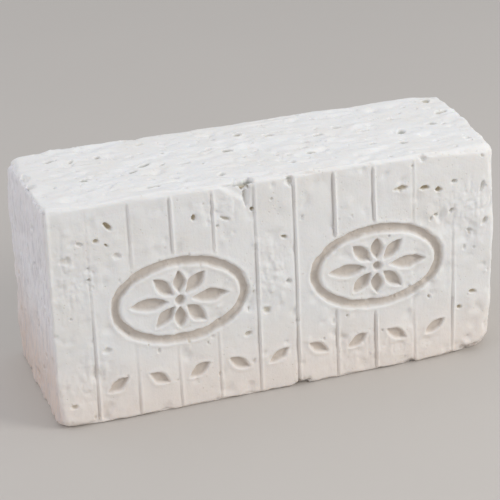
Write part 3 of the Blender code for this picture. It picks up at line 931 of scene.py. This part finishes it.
def noise_at(place, scale, detail=3.0, roughness=0.5):
    """Noise from 0 to 1 at a place in millimetres, with this many cells to a millimetre."""
    inputs = {"in_Vector": place, "in_Scale": scale, "in_Detail": detail, "in_Roughness": roughness}
    return place.node("ShaderNodeTexNoise", {"noise_dimensions": "3D"}, **inputs)


def stretched(place, x, y, z):
    """A place multiplied on each axis: a pattern on it runs longer where the number is small."""
    return place.node("ShaderNodeVectorMath", {"operation": "MULTIPLY"}, in_0=place, in_1=(x, y, z))


def cheese_material(colours):
    """Moist white curd.

    The colour is a mottled white, with painted warm reflected light near the foot,
    and painted shade, brown in the pits, pores and pressed hollows and greyer in the
    top's pits. The left end has painted cool light, painted shade in its fine
    streaks and painted warm reflected light lower down. Fine curd grain, pores
    and streaks are bump.
    """
    material = bpy.data.materials.new("feta_curd")
    material.use_nodes = True
    tree = material.node_tree
    shader = tree.nodes["Principled BSDF"]
    metres = add_node(tree, "ShaderNodeTexCoord", output=3)
    place = stretched(metres, 1 / MM, 1 / MM, 1 / MM)
    stain = add_node(tree, "ShaderNodeAttribute", {"attribute_name": "stain"}, output=2)
    pressed = add_node(tree, "ShaderNodeAttribute", {"attribute_name": "pressed"}, output=2)
    left_end = add_node(tree, "ShaderNodeAttribute", {"attribute_name": "left_end"}, output=2)
    height = add_node(tree, "ShaderNodeSeparateXYZ", output=2, in_0=place)
    up_streaks = noise_at(stretched(place, 1.3, 1.3, 0.07), 1.0, 3.0)

    mottle = noise_at(place, 0.045, 4.0).between(0.35, 0.7)
    curd = mix_colours(mottle * WARM_SHARE, tuple(colours.curd), tuple(colours.warm_curd))
    # Painted warm reflected light near the foot
    foot = 1 - height.between(*FOOT_BOUNCE_FADE)
    curd = mix_colours(foot, curd, tuple(colours.foot_bounce_colour))
    # Painted cool light over the left end
    curd = mix_colours(left_end * END_LIGHT_SHARE, curd, tuple(colours.end_light_tint))
    # Painted warm reflected light low on the left end, its edge wavering with the mottle
    end_bounce = 1 - (height + mottle * END_BOUNCE_WAVER).between(*END_BOUNCE_FADE)
    curd = mix_colours(left_end * end_bounce, curd, tuple(colours.end_bounce_colour))
    # Painted shade in the left end's fine streaks
    end_streak_shading = left_end * up_streaks.between(0.5, 0.64) * STREAK_SHADE_SHARE
    curd = mix_colours(end_streak_shading, curd, tuple(colours.end_streak_shade))
    # Painted brown shade in the pressed hollows and creases
    curd = mix_colours(pressed * PRESS_SHADE_SHARE, curd, tuple(colours.press_shade_colour))
    # Painted shade in fine pores, in the pits' shade colour
    pores = place.node("ShaderNodeTexVoronoi", in_Vector=place, in_Scale=0.42)
    pore = (1 - pores.between(0.05, 0.2)) * noise_at(place, 0.09).between(0.5, 0.62)
    curd = mix_colours(pore * PORE_SHADE_SHARE, curd, tuple(colours.pit))
    # Painted shade deep in the pits, chips and groove: brown, and greyer on the top
    pit = mix_colours(height.between(*TOP_PITS_FROM), tuple(colours.pit), tuple(colours.top_pit_shade))
    curd = mix_colours(stain.between(0.0, 1.0) * CAVITY_SHADE_SHARE, curd, pit)
    tree.links.new(curd.socket, shader.inputs["Base Color"])

    grain = noise_at(place, 1.1, 4.0, 0.6)
    curds = noise_at(place, 0.4, 2.0)
    long_streaks = noise_at(stretched(place, 0.1, 0.9, 0.9), 1.0, 3.0)
    relief = grain * GRAIN_BUMP + curds * CURD_BUMP
    relief += up_streaks * (left_end * END_STREAK_BUMP + UP_STREAK_BUMP)
    relief += long_streaks * LONG_STREAK_BUMP
    relief += pore * PORE_BUMP
    normal = relief.node("ShaderNodeBump", in_Strength=0.8, in_Distance=0.45 * MM, in_Height=relief)
    tree.links.new(normal.socket, shader.inputs["Normal"])
    tree.links.new((0.42 + grain * 0.25 + pressed * 0.08).socket, shader.inputs["Roughness"])

    shader.inputs["Metallic"].default_value = 0.0
    shader.inputs["IOR"].default_value = 1.42
    shader.inputs["Specular IOR Level"].default_value = 0.35
    shader.inputs["Subsurface Weight"].default_value = 0.22
    shader.inputs["Subsurface Radius"].default_value = (1.0, 0.85, 0.7)
    shader.inputs["Subsurface Scale"].default_value = 1.6 * MM
    return material


def floor_material(colour):
    """A plain pale floor with a faint mottle."""
    material = bpy.data.materials.new("studio_floor")
    material.use_nodes = True
    tree = material.node_tree
    shader = tree.nodes["Principled BSDF"]
    metres = add_node(tree, "ShaderNodeTexCoord", output=3)
    mottle = noise_at(metres, 9.0, 3.0)
    darker = tuple(0.97 * part for part in colour[:3]) + (1.0,)
    tree.links.new(mix_colours(mottle, tuple(colour), darker).socket, shader.inputs["Base Color"])
    shader.inputs["Roughness"].default_value = 0.65
    shader.inputs["Specular IOR Level"].default_value = 0.25
    return material


class FetaRelief(bpy.types.PropertyGroup):
    """Depths of the block's surface features."""

    rib_height: bpy.props.FloatProperty(
        name="Rib height", description="Height of the thin ribs between the staves",
        default=0.00075, min=0.0, precision=5, unit="LENGTH")
    crease_depth: bpy.props.FloatProperty(
        name="Crease depth", description="Depth of the crease beside each rib",
        default=0.00055, min=0.0, precision=5, unit="LENGTH")
    pressed_depth: bpy.props.FloatProperty(
        name="Pressed depth", description="Depth of the ornaments, and of the leaves by a fixed share",
        default=0.0023, min=0.0, precision=5, unit="LENGTH")
    pit_depth: bpy.props.FloatProperty(
        name="Pit depth", description="Depth of the pits as a share of their drawn depth",
        default=1.0, min=0.0, max=2.0, subtype="FACTOR")


class FetaColours(bpy.types.PropertyGroup):
    """Colours of the curd, and of the light and shade painted on it."""

    curd: bpy.props.FloatVectorProperty(
        name="Curd", description="Fresh white curd", size=4, subtype="COLOR",
        default=(0.86, 0.86, 0.85, 1.0), min=0.0, max=1.0)
    warm_curd: bpy.props.FloatVectorProperty(
        name="Warm curd", description="Curd that the brine has warmed", size=4, subtype="COLOR",
        default=(0.84, 0.82, 0.785, 1.0), min=0.0, max=1.0)
    # Painted warm reflected light near the foot
    foot_bounce_colour: bpy.props.FloatVectorProperty(
        name="Foot curd", description="Warmer curd near the foot", size=4, subtype="COLOR",
        default=(0.88, 0.815, 0.76, 1.0), min=0.0, max=1.0)
    # Painted cool light over the left end
    end_light_tint: bpy.props.FloatVectorProperty(
        name="End curd", description="Cooler curd of the left end", size=4, subtype="COLOR",
        default=(0.915, 0.90, 0.925, 1.0), min=0.0, max=1.0)
    # Painted shade in the left end's fine streaks
    end_streak_shade: bpy.props.FloatVectorProperty(
        name="End streaks", description="Fine darker streaks up the left end", size=4, subtype="COLOR",
        default=(0.67, 0.65, 0.67, 1.0), min=0.0, max=1.0)
    # Painted warm reflected light low on the left end
    end_bounce_colour: bpy.props.FloatVectorProperty(
        name="Brine curd", description="Stained curd low on the left end", size=4, subtype="COLOR",
        default=(0.80, 0.68, 0.61, 1.0), min=0.0, max=1.0)
    # Painted brown shade in the pressed hollows and creases
    press_shade_colour: bpy.props.FloatVectorProperty(
        name="Pressed curd", description="Curd in the pressed hollows", size=4, subtype="COLOR",
        default=(0.55, 0.465, 0.385, 1.0), min=0.0, max=1.0)
    # Painted brown shade deep in the pits and pores
    pit: bpy.props.FloatVectorProperty(
        name="Pit", description="Whey-stained curd deep in the pits", size=4, subtype="COLOR",
        default=(0.56, 0.475, 0.33, 1.0), min=0.0, max=1.0)
    # Painted grey shade deep in the top's pits
    top_pit_shade: bpy.props.FloatVectorProperty(
        name="Top pit", description="Greyer curd deep in the top's pits", size=4, subtype="COLOR",
        default=(0.36, 0.36, 0.31, 1.0), min=0.0, max=1.0)


class FetaStage(bpy.types.PropertyGroup):
    """The studio round the block."""

    floor: bpy.props.FloatVectorProperty(
        name="Floor", description="Colour of the studio floor", size=4, subtype="COLOR",
        default=(0.58, 0.55, 0.515, 1.0), min=0.0, max=1.0)
    key_power: bpy.props.FloatProperty(
        name="Key light", description="Power of the soft light at the front right",
        default=4.8, min=0.0, unit="POWER")
    top_power: bpy.props.FloatProperty(
        name="Top light", description="Power of the large soft light overhead",
        default=1.7, min=0.0, unit="POWER")
    fill_power: bpy.props.FloatProperty(
        name="Fill light", description="Power of the soft light at the left",
        default=1.6, min=0.0, unit="POWER")
    sky: bpy.props.FloatProperty(
        name="Sky", description="Strength of the even light from all round",
        default=0.62, min=0.0)


class FETA_OT_block(bpy.types.Operator):
    """Make the cheese block and put it in the solid's place"""

    bl_idname = "feta.block"
    bl_label = "Feta block"

    def execute(self, context):
        mesh = mesh_from_skin("feta_block_skin", cheese_skin(context.scene.feta_relief))
        piece = bpy.data.objects.new("feta_block_curd", mesh)
        context.scene.collection.objects.link(piece)
        thin_out(piece, MOST_TRIANGLES)
        piece.data.materials.append(cheese_material(context.scene.feta_colours))
        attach(piece, BODY)
        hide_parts(BLOCK_NODE)
        return {"FINISHED"}


class FETA_OT_stage(bpy.types.Operator):
    """Make the floor, the soft lights and the camera"""

    bl_idname = "feta.stage"
    bl_label = "Studio"

    def execute(self, context):
        stage = context.scene.feta_stage
        floor = bpy.data.objects.new("studio_floor", floor_mesh())
        floor.data.materials.append(floor_material(stage.floor))
        context.scene.collection.objects.link(floor)
        for name, (place, size, colour) in LIGHTS.items():
            soft_light(f"{name}_light", place, size, getattr(stage, f"{name}_power"), colour)
        world = bpy.data.worlds.new("studio")
        world.use_nodes = True
        background = world.node_tree.nodes["Background"]
        background.inputs["Color"].default_value = SKY_COLOUR
        background.inputs["Strength"].default_value = stage.sky
        context.scene.world = world
        context.scene.view_settings.view_transform = "Standard"
        add_camera(context.scene)
        return {"FINISHED"}


def floor_mesh(half=1.5):
    """A square of four points at the height of the block's underside."""
    mesh = bpy.data.meshes.new("studio_floor")
    corners = [(-half, -half, 0.0), (half, -half, 0.0), (half, half, 0.0), (-half, half, 0.0)]
    mesh.from_pydata(corners, [], [(0, 1, 2, 3)])
    return mesh


def soft_light(name, place, size, power, colour):
    """A square area light at a place, turned towards the block's middle."""
    light = bpy.data.lights.new(name, "AREA")
    light.size = size
    light.energy = power
    light.color = colour
    lamp = bpy.data.objects.new(name, light)
    target = Vector((0.0, 0.0, HEIGHT / 2 * MM))
    lamp.location = place
    lamp.rotation_euler = (target - Vector(place)).to_track_quat("-Z", "Y").to_euler()
    bpy.context.scene.collection.objects.link(lamp)


def add_camera(scene):
    """The camera at the photograph's place: heading about Z, pitch, then roll about its own axis."""
    camera = bpy.data.cameras.new("camera")
    camera.sensor_width = SENSOR
    camera.lens = FOCAL_PIXELS / PICTURE * SENSOR
    camera.dof.use_dof = False
    holder = bpy.data.objects.new("camera", camera)
    turn = (
        Matrix.Rotation(CAMERA_HEADING, 4, "Z")
        @ Matrix.Rotation(CAMERA_PITCH, 4, "X")
        @ Matrix.Rotation(CAMERA_ROLL, 4, "Z")
    )
    holder.matrix_world = Matrix.Translation(CAMERA_PLACE) @ turn
    scene.collection.objects.link(holder)
    scene.camera = holder


class FETA_PT_panel(bpy.types.Panel):
    """The block's settings and the buttons that make it"""

    bl_idname = "FETA_PT_panel"
    bl_label = "Feta block"
    bl_space_type = "VIEW_3D"
    bl_region_type = "UI"
    bl_category = "Feta"

    def draw(self, context):
        layout = self.layout
        for group, operator in (("feta_relief", FETA_OT_block), ("feta_stage", FETA_OT_stage)):
            box = layout.box()
            settings = getattr(context.scene, group)
            for name in settings.__annotations__:
                box.prop(settings, name)
            if operator is FETA_OT_block:
                for name in FetaColours.__annotations__:
                    box.prop(context.scene.feta_colours, name)
            box.operator(operator.bl_idname)


GROUPS = {"feta_relief": FetaRelief, "feta_colours": FetaColours, "feta_stage": FetaStage}
CLASSES = (*GROUPS.values(), FETA_OT_block, FETA_OT_stage, FETA_PT_panel)


def register():
    """Register the classes and hang the settings on the scene."""
    for kind in CLASSES:
        bpy.utils.register_class(kind)
    for name, group in GROUPS.items():
        setattr(bpy.types.Scene, name, bpy.props.PointerProperty(type=group))


def unregister():
    """Take the settings off the scene and unregister the classes."""
    for name in GROUPS:
        delattr(bpy.types.Scene, name)
    for kind in reversed(CLASSES):
        bpy.utils.unregister_class(kind)


def main():
    """Make the block and its studio."""
    register()
    bpy.ops.feta.block()
    bpy.ops.feta.stage()


if __name__ == "__main__":
    main()
